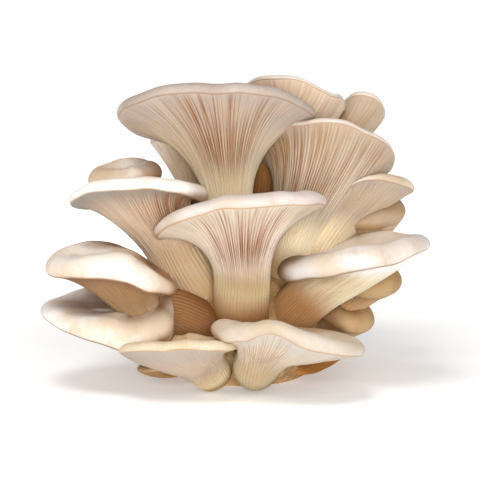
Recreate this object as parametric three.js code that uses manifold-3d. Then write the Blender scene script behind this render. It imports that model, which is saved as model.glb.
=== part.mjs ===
// A cluster of oyster mushrooms. Each mushroom is a cap, its gills and its stem, grown as one piece,
// and all of them spring from one knot of butt tissue that was cut flat when the cluster was picked.
// Millimetres. +X is right, +Y is away from the front and +Z is up. The origin is the middle of the
// knot's flat cut face, which the cluster rests on.

import * as THREE from 'three';
import Module from 'manifold-3d';

const wasm = await Module();
wasm.setup();

// Driving dimensions.
const GAP = 0.35; // left between neighbours that press against each other
// The knot. Its face and its waist half way up to the shoulder are shares of its full width.
const KNOT = {
  width: 60, depth: 58, height: 44, face: 0.78, waist: 0.94, shoulder: 12, sides: 20, lump: 0.06,
};
const KNOT_RISES = [0.35, 0.65, 0.88]; // where the knot's dome has its rounds, as shares of its rise
const MARGIN_WAVE = 0.02; // height of the small waves of a cap's edge, as a share of its reach
// The small waves up and down and those in and out: how many go round, how the seed turns them and
// how high each is.
const RISING_WAVES = [[5, 1.7, 0.5], [8, 2.9, 0.35], [13, 0.7, 0.2]];
const REACHING_WAVES = [[7, 2.1, 0.3], [11, 1, 0.18]];
const STEM_LUMP = 0.05; // share of its radius by which a stem is out of round
const FOOT_BULGE = 0.8; // length of a stem's rounded lower end, in its radii
const GILL_FOOT = 0.3; // where a stem's last plain round is, as a share of its height to the throat
// How deep the furrows are where the gills begin and where they end at the edge, as shares of their
// full depth, and the share of the way out that each end takes.
const GILL_START = { depth: 0.35, run: 0.35 };
const GILL_END = { depth: 0.06, run: 0.6 };
const TOP_ROUNDS = [1.35, 1.7]; // the upper side's rounds, in turns as in Mushroom.upper
const SMALLEST_DETAIL = 0.1; // slivers thinner than this are cleared from a cut

// How finely a mushroom of each size class is made, and how deep the furrows between its gills are.
const LARGE = { gills: 22, stemSides: 14, bands: [0.22, 0.45, 0.7, 0.9], furrow: 1.7 };
const MIDDLING = { gills: 16, stemSides: 12, bands: [0.3, 0.6, 0.88], furrow: 1.3 };
const SMALL = { gills: 10, stemSides: 10, bands: [0.4, 0.85], furrow: 0.9 };

// The mushrooms, those in front first. Each one's measures are:
//   hub     the middle of the cap, where the stem opens into it
//   lean    how many degrees the cap's axis leans, and towards which hour of a clock seen from above
//           (12 is away from the front, 3 is right, 6 is the front, 9 is left)
//   stem    stations up the stem, each its x, y, z and radius
//   reach   from the hub out to the cap's edge, read round that clock from 12 in even steps
//   lift    of the edge above the hub, along the cap's axis, read in the same way
//   throat  the share of the stem at which it starts to open, and flare, how late it opens
//   level   how level the underside runs out to the edge: 0 like a funnel, 1 like a quarter round
//   lip     the rolled margin: its width, its height and how many degrees it is tucked under
//   fat     the lip's size round the clock, where it isn't even
//   dish    how far the middle of the upper side is sunk below the hub
//   seed    sets where the small waves fall
const MUSHROOMS = [
  {
    name: 'front_centre', size: LARGE, colour: 0xf4e8d8, seed: 2,
    hub: [-2, -26, 63], lean: [6, 0],
    stem: [[0, -18, 14, 10.5], [-1.8, -21, 32, 11.2], [-1.2, -22, 46, 11.2]],
    reach: [24, 26, 30, 33, 32, 29, 27, 27, 30, 33, 30, 26],
    lift: [-1, 3, 7, 10, 10.5, 10.5, 9.5, 7.5, 3, -3, -4.5, -3],
    throat: 0.48, flare: 3.5, level: 0.9, lip: [6.5, 3.6, 32], dish: 8,
    fat: [0.8, 0.9, 1, 1.1, 1, 1, 1, 1.05, 1.25, 1.3, 1, 0.8],
  },
  {
    name: 'top_trumpet', size: LARGE, colour: 0xe4d6c8, seed: 1,
    hub: [-8.6, 8, 104.5], lean: [22, 0],
    stem: [[-2, 4, 22, 10], [-5, 5, 56, 9.4], [-6.8, 6, 76, 9.9]],
    reach: [26, 28.8, 33.4, 36.6, 35.4, 33.8, 32, 34.2, 39.6, 42.9, 38.6, 31.2],
    lift: [-2, -1, 0, 0, -0.5, 0.5, 1, 1, 1, 0, -2, -3],
    throat: 0.5, flare: 2.8, level: 0.5, lip: [5.5, 3.8, 30], dish: 18,
  },
  {
    name: 'low_right', size: LARGE, colour: 0xeedfcc, seed: 12,
    hub: [10, -44, 25], lean: [6, 6],
    stem: [[5, -34, 10.4, 9.6], [5, -38, 12.4, 10.2], [7, -41, 18, 9.4]],
    reach: [16, 20, 28, 36, 32, 26, 21, 21, 22, 22, 20, 17],
    lift: [-4, -5, -6.5, -7.5, -4, 0.5, 6.5, 2, 0.5, 0, -2, -3],
    throat: 0.3, flare: 2, level: 0.5, lip: [5.5, 3.9, 38], dish: 1,
    fat: [0.6, 0.6, 0.75, 0.8, 1, 1.15, 0.75, 1.05, 1.15, 1, 0.8, 0.7],
  },
  {
    name: 'low_left', size: MIDDLING, colour: 0xe6d6c4, seed: 11,
    hub: [-23, -45, 18.5], lean: [13, 0.5],
    stem: [[-13, -33, 7.2, 7.4], [-14, -36, 9, 7.7], [-17, -40, 12.5, 7.5]],
    reach: [10, 12, 17, 20, 20, 19, 17, 19, 23, 26, 22, 14],
    lift: [3, 3, 2, 2, 1, 0, 0, -1, -2, -2, 0, 2],
    throat: 0.3, flare: 2, level: 0.3, lip: [4, 2.8, 30], dish: -2,
  },
  {
    name: 'left_middle', size: MIDDLING, colour: 0xecdccb, seed: 9,
    hub: [-46.5, -24, 48], lean: [13, 5],
    stem: [[-11, -10, 15, 6.5], [-29, -19, 20, 6.2], [-39, -26, 29, 6.2]],
    reach: [20, 20, 19, 19.5, 21, 23, 25, 27, 30, 31.5, 29, 24],
    lift: [-4, -6, -7, -7, -5.5, -2, 3, 2.5, -1.5, -5.5, -4, -2.5],
    throat: 0.42, flare: 2.4, level: 0.8, lip: [9, 5.6, 30], dish: -7.5,
    fat: [0.7, 0.6, 0.55, 0.55, 0.8, 1, 1, 1, 1, 1, 1, 0.8],
  },
  {
    name: 'left_leaf', size: LARGE, colour: 0xe8d8c6, seed: 10,
    hub: [-43, -19, 32], lean: [20, 6],
    stem: [[-4, -11, 13, 9.5], [-14, -15, 20, 10.5], [-27, -18, 27, 10.5]],
    reach: [26, 20, 15, 13, 17, 26, 31, 32, 36, 39, 36, 31],
    lift: [-1, 1, 3, 5, 0, -3, -3.5, -0.5, 0.5, -2, -7, -6],
    throat: 0.68, flare: 2, level: 0.6, lip: [9, 6, 14], dish: 0.5,
    fat: [0.4, 0.35, 0.3, 0.35, 0.7, 1.2, 1.1, 1, 0.6, 0.4, 0.45, 0.4],
  },
  {
    name: 'right_ledge', size: LARGE, colour: 0xe9dccb, seed: 14,
    hub: [41, -14, 48], lean: [4, 6],
    stem: [[9, -8, 14, 10], [18, -12, 27, 9.8], [28, -14, 37, 10]],
    reach: [27, 29, 32, 32.5, 31, 30, 30, 30, 28.5, 26, 21, 23],
    lift: [2, 4, 5, 6.5, 7.5, 5.5, 3, 0, -4, -6, -8, -4],
    throat: 0.42, flare: 2.5, level: 0.8, lip: [8, 5.8, 35], dish: 8,
    fat: [0.5, 0.5, 0.55, 0.6, 0.7, 0.85, 1, 1, 1.1, 1, 0.7, 0.6],
  },
  {
    name: 'left_shelf', size: LARGE, colour: 0xe6d7c6, seed: 7,
    hub: [-38, -10, 75], lean: [8, 0],
    stem: [[-9, 2, 20, 11.5], [-20, -2, 40, 13.2], [-29, -7, 57, 13.2]],
    reach: [24, 24, 23, 22, 23, 25, 27, 28, 30, 32, 30, 26],
    lift: [-4, -4, -4, -3, -2, 0.5, 2, 2, 0, -3.5, -5, -5],
    throat: 0.52, flare: 3, level: 0.95, lip: [5, 3.3, 33], dish: 8,
    fat: [1, 1, 1.2, 1.5, 1.5, 1.2, 1, 1, 1, 1, 1, 1],
  },
  {
    name: 'right_fan', size: LARGE, colour: 0xe2d2bf, seed: 3,
    hub: [35, 20, 89], lean: [32, 0],
    stem: [[11, 3, 24, 9], [18, 7, 46, 9], [23, 11, 60, 9.5]],
    reach: [30, 31, 29, 27, 26, 26, 28, 28, 28, 29, 29, 30],
    lift: [0, 0, -1, -2, -2, -1, 0, 1, 1, 1, 1, 1],
    throat: 0.45, flare: 1.9, level: 0.35, lip: [4, 2.4, 25], dish: 16,
  },
  {
    name: 'under_right', size: SMALL, colour: 0xb8925f, seed: 13,
    hub: [30, -12, 12.6], lean: [20, 1],
    stem: [[11, -4, 6, 5], [18, -7, 5.8, 4.8], [25, -10, 6.2, 4.6]],
    reach: [13, 13, 14, 15, 20, 15],
    lift: [0, 2, 3, 0.5, -1.5, -1],
    throat: 0.4, flare: 1.6, lip: [3.5, 2.8, 30], dish: -3,
  },
  {
    name: 'right_wing', size: MIDDLING, colour: 0xdccab4, seed: 4,
    hub: [50, 16, 78], lean: [24, 2],
    stem: [[17, 4, 26, 6.5], [28, 8, 46, 7], [37, 11, 60, 8]],
    reach: [17, 18, 19, 19.5, 16, 14, 14, 12, 11, 11, 12, 14],
    lift: [-6, -4, 0, 3, 3, 1.5, -0.5, -5, -8, -8, -7, -6],
    throat: 0.5, flare: 1.9, level: 0.6, lip: [4, 2.4, 28], dish: 8,
    fat: [0.7, 0.8, 1, 1, 1, 0.9, 0.7, 0.45, 0.35, 0.35, 0.4, 0.6],
  },
  {
    name: 'left_bud', size: SMALL, colour: 0xdcc7b2, seed: 8,
    hub: [-49, 16, 80], lean: [12, 6.5],
    stem: [[-12, 5, 24, 6], [-30, 11, 48, 6], [-41, 14, 66, 6]],
    reach: [14, 14, 13.5, 13.5, 15, 14.5],
    lift: [-2, -2, -1, -1, -2, -3],
    throat: 0.5, flare: 2.2, level: 0.6, lip: [6, 4.6, 34], dish: -4,
  },
  {
    name: 'right_knob', size: SMALL, colour: 0xcdb08c, seed: 16,
    hub: [49, 7, 37], lean: [28, 4.5],
    stem: [[15, 3, 16, 5.5], [29, 6, 23, 5.3], [42, 7, 28, 5.2]],
    reach: [14, 14, 13.5, 15, 13, 12],
    lift: [-2, 1, 3, 1, -3, -4],
    throat: 0.5, flare: 2, level: 0.4, lip: [6.5, 5.6, 30], dish: -5,
  },
  {
    name: 'low_ear', size: SMALL, colour: 0xc6a47c, seed: 17,
    hub: [39, 7, 22.5], lean: [24, 3.5],
    stem: [[14, 4, 8, 5], [24, 6, 12, 5], [32, 7, 15, 5.5]],
    reach: [14, 14, 13, 14.5, 12, 12],
    lift: [1, 1, 0, -1, 0, 1],
    throat: 0.45, flare: 1.7, level: 0.3, lip: [6, 5, 30], dish: -4,
  },
  {
    name: 'back_left', size: MIDDLING, colour: 0xe6d8c8, seed: 18,
    hub: [-20, 45, 91], lean: [14, 0],
    stem: [[-8, 16, 26, 7], [-15, 28, 54, 7], [-19, 37, 72, 7.5]],
    reach: [20, 19, 18, 17, 19, 20],
    lift: [0],
    throat: 0.5, flare: 2.2, lip: [4, 2.4, 30], dish: 10,
  },
  {
    name: 'right_behind', size: SMALL, colour: 0xd9c3a8, seed: 15,
    hub: [51, 22, 63], lean: [12, 6],
    stem: [[17, 9, 22, 6], [31, 15, 35, 6], [43, 19, 48, 6.5]],
    reach: [15, 15, 15, 15, 16, 17],
    lift: [-1, 0, 0, -1, -1, -3],
    throat: 0.5, flare: 2, lip: [6, 4.4, 35], dish: -4,
  },
  {
    name: 'back_crest', size: MIDDLING, colour: 0xd8c5b0, seed: 5,
    hub: [23, 44, 106], lean: [32, 11.5],
    stem: [[5, 17, 26, 7], [8.5, 28, 66, 7.5], [12.2, 36, 86, 8.6]],
    reach: [26, 23, 20, 19.5, 21, 26, 29, 29, 27, 25, 25, 26],
    lift: [1, 0, -1, -2, -4, -7.5, -1.5, 3, 5, 5, 4, 2],
    throat: 0.5, flare: 1.9, lip: [3.5, 2, 25], dish: 14,
  },
  {
    name: 'back_ear', size: SMALL, colour: 0xd9c7b2, seed: 6,
    hub: [51, 57, 103.5], lean: [35, 0.5],
    stem: [[16, 22, 24, 6], [30, 45, 60, 5.8], [38, 53, 85, 6]],
    reach: [12, 10, 9.5, 14, 9.5, 10],
    lift: [0, 0, 0, 0, 1, 1],
    throat: 0.5, flare: 1.6, lip: [3, 2.2, 25], dish: 4,
  },
  {
    name: 'low_scrap', size: SMALL, colour: 0xc3a076, seed: 19,
    hub: [-36, -12, 5.2], lean: [8, 9],
    stem: [[-18, -6, 3.4, 2.3], [-25, -8, 3, 2.2], [-32, -10.5, 2.7, 2]],
    reach: [7.5],
    lift: [0],
    throat: 0.4, flare: 1.5, lip: [2, 1.4, 30], dish: -1.2,
  },
  {
    name: 'rear_shelf', size: MIDDLING, colour: 0xe8dac9, seed: 20,
    hub: [8, 50, 64], lean: [12, 6],
    stem: [[2, 18, 20, 9], [4, 31, 34, 9], [7, 42, 48, 9]],
    reach: [26, 28, 30, 31, 29, 25, 23, 25, 28, 30, 29, 27],
    lift: [2, 3, 3, 2, 0, -1, -2, -1, 1, 3, 3, 3],
    throat: 0.5, flare: 2.4, lip: [6, 4, 38], dish: 10,
  },
  {
    name: 'rear_left', size: MIDDLING, colour: 0xe4d4c2, seed: 21,
    hub: [-32, 36, 56], lean: [14, 4.5],
    stem: [[-11, 14, 18, 7], [-20, 23, 32, 7], [-28, 31, 44, 7]],
    reach: [21, 19, 18, 18, 18, 19],
    lift: [1, 0, 0, -1, 1, 2],
    throat: 0.5, flare: 2.2, lip: [5, 3.4, 36], dish: 7,
  },
  {
    name: 'rear_right', size: MIDDLING, colour: 0xe2d1bd, seed: 22,
    hub: [37, 45, 41], lean: [16, 7.5],
    stem: [[12, 16, 15, 7], [23, 30, 21, 7], [33, 41, 29, 6.6]],
    reach: [21, 19, 17, 17, 19, 21],
    lift: [1, 1, 0, -1, 0, 2],
    throat: 0.5, flare: 2.1, lip: [5, 3.4, 36], dish: 0,
  },
  {
    name: 'rear_low_left', size: SMALL, colour: 0xddcab3, seed: 23,
    hub: [-24, 46, 25], lean: [14, 5],
    stem: [[-10, 16, 9, 7], [-16, 29, 11, 6.8], [-22, 40, 15, 6.6]],
    reach: [20, 18, 17, 17, 19, 21],
    lift: [0],
    throat: 0.45, flare: 1.9, lip: [5, 3.4, 38], dish: 0,
  },
  {
    name: 'rear_low_right', size: SMALL, colour: 0xdcc8b0, seed: 24,
    hub: [9, 50, 18], lean: [14, 6.5],
    stem: [[4, 20, 6.5, 6], [6, 33, 7, 5.8], [8, 44, 9.5, 5.6]],
    reach: [18, 16, 15, 15, 16, 18],
    lift: [0],
    throat: 0.4, flare: 1.8, lip: [4.5, 3.2, 38], dish: -1,
  },
];

const HOURS = 12;
const FULL_TURN = 2 * Math.PI;
const UP = new THREE.Vector3(0, 0, 1);

function vector(xyz) {
  return new THREE.Vector3(xyz[0], xyz[1], xyz[2]);
}

// A smooth step between the middle two of four even values.
function blend(a, b, c, d, t) {
  const bend = 2 * a - 5 * b + 4 * c - d;
  const twist = 3 * b - a - 3 * c + d;
  return 0.5 * (2 * b + (c - a) * t + bend * t * t + twist * t * t * t);
}

// A value read off a list that runs once round the clock.
function clock(values, hour) {
  const place = (hour / HOURS) * values.length;
  const first = Math.floor(place);
  const at = (step) => values[(first + step + values.length) % values.length];
  return blend(at(-1), at(0), at(1), at(2), place - first);
}

// A value read off a list that runs from one end to the other, at a share from 0 to 1.
function along(values, share) {
  const last = values.length - 1;
  const first = Math.min(Math.floor(share * last), last - 1);
  const at = (step) => values[THREE.MathUtils.clamp(first + step, 0, last)];
  return blend(at(-1), at(0), at(1), at(2), share * last - first);
}

function clockAngle(hour) {
  return (hour / HOURS) * FULL_TURN;
}

class Mushroom {
  constructor(shape) {
    this.shape = shape;
    this.hub = vector(shape.hub);
    const lean = THREE.MathUtils.degToRad(shape.lean[0]);
    const toward = clockAngle(shape.lean[1]);
    const sideways = Math.sin(lean);
    this.axis = new THREE.Vector3(
      sideways * Math.sin(toward),
      sideways * Math.cos(toward),
      Math.cos(lean),
    );
    const tilt = new THREE.Quaternion().setFromUnitVectors(UP, this.axis);
    this.right = new THREE.Vector3(1, 0, 0).applyQuaternion(tilt);
    this.away = new THREE.Vector3(0, 1, 0).applyQuaternion(tilt);
    const reaches = shape.reach.reduce((sum, value) => sum + value, 0);
    this.wave = (MARGIN_WAVE * reaches) / shape.reach.length;
    this.layStem();
    this.spaceMargin();
  }

  // The stem's middle line, carried a little past both ends so that it meets the cap square.
  layStem() {
    const points = [...this.shape.stem.map(vector), this.hub];
    const before = points[0].clone().multiplyScalar(2).sub(points[1]);
    const lastStep = this.hub.distanceTo(points[points.length - 2]);
    const after = this.hub.clone().addScaledVector(this.axis, lastStep);
    this.line = new THREE.CatmullRomCurve3([before, ...points, after], false, 'catmullrom');
    this.spans = points.length - 1;
    this.radii = this.shape.stem.map((station) => station[3]);
    this.radii.push(this.radii[this.radii.length - 1]);
  }

  // The hours that share out the margin, part by angle and part by length, so that the gills are
  // about as far apart on a long lobe as on a short one.
  spaceMargin() {
    const steps = 240;
    const byLength = 0.65;
    this.hours = [];
    this.shares = [];
    let length = 0;
    let previous = this.margin(0);
    for (let i = 0; i <= steps; i += 1) {
      const hour = (i / steps) * HOURS;
      const point = this.margin(hour);
      length += point.distanceTo(previous);
      previous = point;
      this.hours.push(hour);
      this.shares.push(length);
    }
    this.shares = this.shares.map(
      (share, i) => byLength * (share / length) + (1 - byLength) * (this.hours[i] / HOURS),
    );
  }

  hour(share) {
    const wrapped = share - Math.floor(share);
    const next = Math.max(1, this.shares.findIndex((value) => value >= wrapped));
    const t = (wrapped - this.shares[next - 1]) / (this.shares[next] - this.shares[next - 1]);
    return THREE.MathUtils.lerp(this.hours[next - 1], this.hours[next], t);
  }

  outward(hour) {
    const angle = clockAngle(hour);
    const out = this.right.clone().multiplyScalar(Math.sin(angle));
    return out.addScaledVector(this.away, Math.cos(angle));
  }

  // A point of the cap's edge, with its lobes and its small waves.
  margin(hour) {
    const { seed, reach, lift } = this.shape;
    const angle = clockAngle(hour);
    const waves = (list) => list.reduce(
      (sum, [count, shift, height]) => sum + height * Math.sin(count * angle + seed * shift),
      0,
    );
    return this.hub
      .clone()
      .addScaledVector(this.outward(hour), clock(reach, hour) + this.wave * waves(REACHING_WAVES))
      .addScaledVector(this.axis, clock(lift, hour) + this.wave * waves(RISING_WAVES));
  }

  // The stem's round at a share of its height: its middle, which way is out, its radius and its run.
  round(height, hour) {
    const { seed } = this.shape;
    const t = (1 + height * this.spans) / (this.spans + 2);
    const angle = clockAngle(hour);
    const run = this.line.getTangent(t);
    const turn = new THREE.Quaternion().setFromUnitVectors(this.axis, run);
    const lump = Math.sin(2 * angle + seed + 3 * height)
      + 0.6 * Math.sin(3 * angle + 2 * seed - 4 * height);
    return {
      middle: this.line.getPoint(t),
      out: this.outward(hour).applyQuaternion(turn),
      radius: along(this.radii, height) * (1 + STEM_LUMP * lump),
      run,
    };
  }

  // How far out a height on the stem has opened: 0 below the throat and 1 at the cap's edge.
  opening(height) {
    const { throat } = this.shape;
    return THREE.MathUtils.clamp((height - throat) / (1 - throat), 0, 1);
  }

  // The stem and the underside of the cap in one sweep, as a funnel or as a quarter round.
  underside(height, share) {
    const { throat, flare, level = 0 } = this.shape;
    const hour = this.hour(share);
    const opening = this.opening(height);
    const quarter = (opening * Math.PI) / 2;
    const early = (1 - throat) * level * (Math.sin(quarter) - opening);
    const here = this.round(height + early, hour);
    const neck = this.round(1, hour);
    const spread = this.margin(hour).sub(this.hub).addScaledVector(neck.out, -neck.radius);
    return here.middle
      .addScaledVector(here.out, here.radius)
      .addScaledVector(spread, Math.sqrt(1 - Math.cos(quarter)) ** flare);
  }

  // The same with its gills: shares that fall between two gills are sunk into the furrow.
  gilled(height, share, depth) {
    const step = 0.002;
    const point = this.underside(height, share);
    const upward = this.underside(Math.min(height + step, 1), share)
      .sub(this.underside(height - step, share));
    const around = this.underside(height, share + step).sub(this.underside(height, share - step));
    const normal = upward.cross(around).normalize();
    const opening = this.opening(height);
    const ramp = (end, run) => THREE.MathUtils.lerp(end.depth, 1, Math.min(run / end.run, 1));
    const sunk = depth * ramp(GILL_START, opening) * ramp(GILL_END, 1 - opening);
    return point.addScaledVector(normal, -sunk);
  }

  // The upper side: turn 0 is the edge, 1 the crest of the rolled margin and 2 the cap's middle.
  upper(turn, share) {
    const { lip, fat = [1], dish } = this.shape;
    const hour = this.hour(share);
    const size = clock(fat, hour);
    const tuck = THREE.MathUtils.degToRad(lip[2]);
    const roll = -tuck + Math.min(turn, 1) * (Math.PI / 2 + tuck);
    const rolled = this.margin(hour)
      .addScaledVector(this.outward(hour), size * lip[0] * (Math.cos(roll) - Math.cos(tuck)))
      .addScaledVector(this.axis, size * lip[1] * (Math.sin(roll) + Math.sin(tuck)));
    const inward = Math.max(turn - 1, 0);
    const middle = this.hub.clone().addScaledVector(this.axis, -dish);
    const rise = rolled.clone().sub(middle).dot(this.axis);
    const sag = inward - THREE.MathUtils.smoothstep(inward, 0, 1);
    return rolled.lerp(middle, inward).addScaledVector(this.axis, rise * sag);
  }

  // The rounded lower end: turn 0 is the stem's first round and 1 its tip.
  foot(turn, share) {
    const { middle, out, radius, run } = this.round(0, this.hour(share));
    const angle = (turn * Math.PI) / 2;
    return middle
      .addScaledVector(out, radius * Math.cos(angle))
      .addScaledVector(run, -FOOT_BULGE * this.radii[0] * Math.sin(angle));
  }
}

// One round of points, from a function of the share of the way round.
function ring(count, pointAt) {
  return Array.from({ length: count }, (_, i) => pointAt(i / count, i));
}

// A closed skin over rings stacked from the bottom up, with a point at each end. Neighbouring rings
// may differ in count: the next triangle always takes the side that is further behind.
function skin(rings, bottom, top) {
  const points = [bottom, ...rings.flat(), top];
  const triangles = [];
  const starts = [];
  let start = 1;
  for (const round of rings) {
    starts.push(start);
    start += round.length;
  }
  const first = rings[0].length;
  for (let i = 0; i < first; i += 1) {
    triangles.push(0, 1 + i, 1 + ((i + 1) % first));
  }
  for (let k = 0; k + 1 < rings.length; k += 1) {
    const below = rings[k].length;
    const above = rings[k + 1].length;
    let i = 0;
    let j = 0;
    while (i < below || j < above) {
      const low = starts[k] + (i % below);
      const high = starts[k + 1] + (j % above);
      if (j === above || (i < below && (i + 0.5) / below <= (j + 0.5) / above)) {
        triangles.push(low, high, starts[k] + ((i + 1) % below));
        i += 1;
      } else {
        triangles.push(low, high, starts[k + 1] + ((j + 1) % above));
        j += 1;
      }
    }
  }
  const last = rings[rings.length - 1].length;
  const lastStart = starts[starts.length - 1];
  for (let i = 0; i < last; i += 1) {
    triangles.push(points.length - 1, lastStart + ((i + 1) % last), lastStart + i);
  }
  const geometry = new THREE.BufferGeometry().setFromPoints(points);
  geometry.setIndex(triangles);
  return geometry;
}

// The skin of one mushroom from foot to cap, with a furrow between each two gills or, for the plain
// envelope that its neighbours are cut back to, with the gills' edges alone.
function mushroomSkin(mushroom, withFurrows) {
  const { size, throat } = mushroom.shape;
  const around = withFurrows ? size.gills * 2 : size.gills;
  const rings = [ring(size.stemSides, (share) => mushroom.foot(0.5, share))];
  for (const height of [0, throat * GILL_FOOT]) {
    rings.push(ring(size.stemSides, (share) => mushroom.underside(height, share)));
  }
  for (const opening of [0, ...size.bands]) {
    const height = throat + (1 - throat) * opening;
    rings.push(
      ring(around, (share, i) => {
        const sunk = withFurrows && i % 2 === 1;
        return mushroom.gilled(height, share, sunk ? size.furrow : 0);
      }),
    );
  }
  rings.push(ring(size.gills, (share) => mushroom.margin(mushroom.hour(share))));
  for (const turn of [0.5, 1]) {
    rings.push(ring(size.gills, (share) => mushroom.upper(turn, share)));
  }
  for (const turn of TOP_ROUNDS) {
    rings.push(ring(size.gills / 2, (share) => mushroom.upper(turn, share)));
  }
  return skin(rings, mushroom.foot(1, 0), mushroom.upper(2, 0));
}

// The knot: a lumpy dome that narrows below its shoulder to the flat cut face.
function knotSkin() {
  const { width, depth, height, face, waist, shoulder, sides, lump } = KNOT;
  const slice = (z, share) => (angle) => {
    const bump = 1 + lump * (Math.sin(3 * angle + 1) + 0.6 * Math.sin(5 * angle + z / shoulder));
    const x = (width / 2) * share * bump * Math.cos(angle);
    const y = (depth / 2) * share * bump * Math.sin(angle);
    return new THREE.Vector3(x, y, z);
  };
  const slices = [slice(0, face), slice(shoulder / 2, waist), slice(shoulder, 1)];
  for (const rise of KNOT_RISES) {
    slices.push(slice(shoulder + (height - shoulder) * rise, Math.sqrt(1 - rise * rise)));
  }
  const rings = slices.map((pointAt) => ring(sides, (share) => pointAt(-share * FULL_TURN)));
  return skin(rings, new THREE.Vector3(0, 0, 0), new THREE.Vector3(0, 0, height));
}

// The same skin moved out along its own normals.
function grown(geometry, distance) {
  const swollen = geometry.clone();
  swollen.computeVertexNormals();
  const { position, normal } = swollen.attributes;
  for (let i = 0; i < position.count; i += 1) {
    position.setXYZ(
      i,
      position.getX(i) + distance * normal.getX(i),
      position.getY(i) + distance * normal.getY(i),
      position.getZ(i) + distance * normal.getZ(i),
    );
  }
  return swollen;
}

function toSolid(geometry) {
  return new wasm.Manifold(
    new wasm.Mesh({
      numProp: 3,
      vertProperties: new Float32Array(geometry.attributes.position.array),
      triVerts: new Uint32Array(geometry.index.array),
    }),
  );
}

function toGeometry(solid) {
  const { vertProperties, triVerts } = solid.getMesh();
  const geometry = new THREE.BufferGeometry();
  geometry.setAttribute('position', new THREE.BufferAttribute(vertProperties, 3));
  geometry.setIndex(new THREE.BufferAttribute(triVerts, 1));
  geometry.computeVertexNormals();
  return geometry;
}

function largestBody(solid) {
  const bodies = solid.decompose();
  return bodies.reduce((best, body) => (body.volume() > best.volume() ? body : best));
}

function piece(name, geometry, colour) {
  const material = new THREE.MeshStandardMaterial({ color: colour, roughness: 0.7, metalness: 0 });
  const mesh = new THREE.Mesh(geometry, material);
  mesh.name = name;
  return mesh;
}

// Each mushroom gives way to the knot and to those before it, and keeps the gap to them.
const cluster = new THREE.Group();
const knot = knotSkin();
cluster.add(piece('base_knot', knot, 0xcdb48c));
const taken = [toSolid(grown(knot, GAP))];
for (const shape of MUSHROOMS) {
  const mushroom = new Mushroom(shape);
  const whole = toSolid(mushroomSkin(mushroom, true));
  const cut = taken.reduce((rest, neighbour) => rest.subtract(neighbour), whole);
  const body = largestBody(cut).simplify(SMALLEST_DETAIL);
  cluster.add(piece(shape.name, toGeometry(body), shape.colour));
  taken.push(toSolid(grown(mushroomSkin(mushroom, false), GAP)));
}

export default cluster;
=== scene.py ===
import math

import bpy
import numpy as np
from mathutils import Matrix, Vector
from mathutils.bvhtree import BVHTree


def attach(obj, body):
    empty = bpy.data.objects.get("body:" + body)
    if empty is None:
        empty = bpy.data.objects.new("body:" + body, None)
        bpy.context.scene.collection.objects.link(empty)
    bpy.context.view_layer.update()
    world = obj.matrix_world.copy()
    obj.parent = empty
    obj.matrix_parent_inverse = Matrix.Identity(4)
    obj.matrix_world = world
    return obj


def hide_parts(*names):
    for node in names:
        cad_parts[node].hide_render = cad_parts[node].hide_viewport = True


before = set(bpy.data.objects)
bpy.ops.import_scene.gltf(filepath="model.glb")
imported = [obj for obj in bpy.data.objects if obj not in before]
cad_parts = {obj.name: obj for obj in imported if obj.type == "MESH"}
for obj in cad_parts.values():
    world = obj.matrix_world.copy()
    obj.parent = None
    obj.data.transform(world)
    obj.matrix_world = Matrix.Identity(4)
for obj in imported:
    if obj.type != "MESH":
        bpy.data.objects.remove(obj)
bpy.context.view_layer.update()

# The camera. The photo was taken from far off and from a little above the table, so the cluster's
# sides hardly draw together, and it aims at the middle of the cluster's height.
MM = 0.001
PHOTO_SIDE_PX = 480
CAMERA_RISE = math.radians(8)
CAMERA_AWAY = 900 * MM
PHOTO_MM_PER_PX = 0.408
CAMERA_AIM = Vector((-2, 0, 56)) * MM
SENSOR_MM = 36

camera = bpy.data.objects.new("camera", bpy.data.cameras.new("camera"))
bpy.context.scene.collection.objects.link(camera)
camera.data.sensor_width = SENSOR_MM
camera.data.lens = SENSOR_MM * CAMERA_AWAY / MM / PHOTO_MM_PER_PX / PHOTO_SIDE_PX
camera.data.clip_start = 0.01
backward = Vector((0, -math.cos(CAMERA_RISE), math.sin(CAMERA_RISE)))
camera.location = CAMERA_AIM + backward * CAMERA_AWAY
camera.rotation_euler = (-backward).to_track_quat("-Z", "Y").to_euler()
bpy.context.scene.camera = camera
bpy.context.scene.view_settings.view_transform = "Standard"

# The mushroom in the middle of the front. It is firm white flesh in one piece: a thick stem that
# opens late into a nearly flat cap with a rolled edge, its gills running far down the stem.
HOURS = 12
MARGIN_STEPS = 240
MARGIN_WAVE = 0.02
STEM_LUMP = 0.05
FOOT_BULGE = 0.8
POINTS_A_GILL = 4
TINY = 1e-12

# How finely a mushroom is drawn, by its size. A real cap of 80 mm has some 200 gills, too fine to
# show here, so there are fewer and coarser ones. Furrows are in millimetres.
LARGE = {"gills": 104, "rings": 42, "furrow": 1.9}
MIDDLING = {"gills": 72, "rings": 30, "furrow": 1.5}
SMALL = {"gills": 48, "rings": 24, "furrow": 1.1}


def blend(a, b, c, d, t):
    bend = 2 * a - 5 * b + 4 * c - d
    twist = 3 * b - a - 3 * c + d
    return 0.5 * (2 * b + (c - a) * t + bend * t**2 + twist * t**3)


def clock(values, hour):
    """A value read off a list that runs once round the clock from 12."""
    values = np.asarray(values, float)
    count = len(values)
    place = np.asarray(hour, float) / HOURS * count
    first = np.floor(place).astype(int)
    near = [values[(first + step) % count] for step in (-1, 0, 1, 2)]
    return blend(*near, place - first)


def along(points, share):
    """The place and the run of a line through points, whose first and last only guide its ends."""
    points = np.asarray(points, float)
    spans = len(points) - 3
    place = np.clip(np.asarray(share, float), 0, 1) * spans
    first = np.minimum(np.floor(place).astype(int), spans - 1)
    a, b, c, d = (points[first + step] for step in range(4))
    t = (place - first)[..., None]
    bend = 2 * a - 5 * b + 4 * c - d
    twist = 3 * b - a - 3 * c + d
    return blend(a, b, c, d, t), 0.5 * ((c - a) + 2 * bend * t + 3 * twist * t**2)


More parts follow.
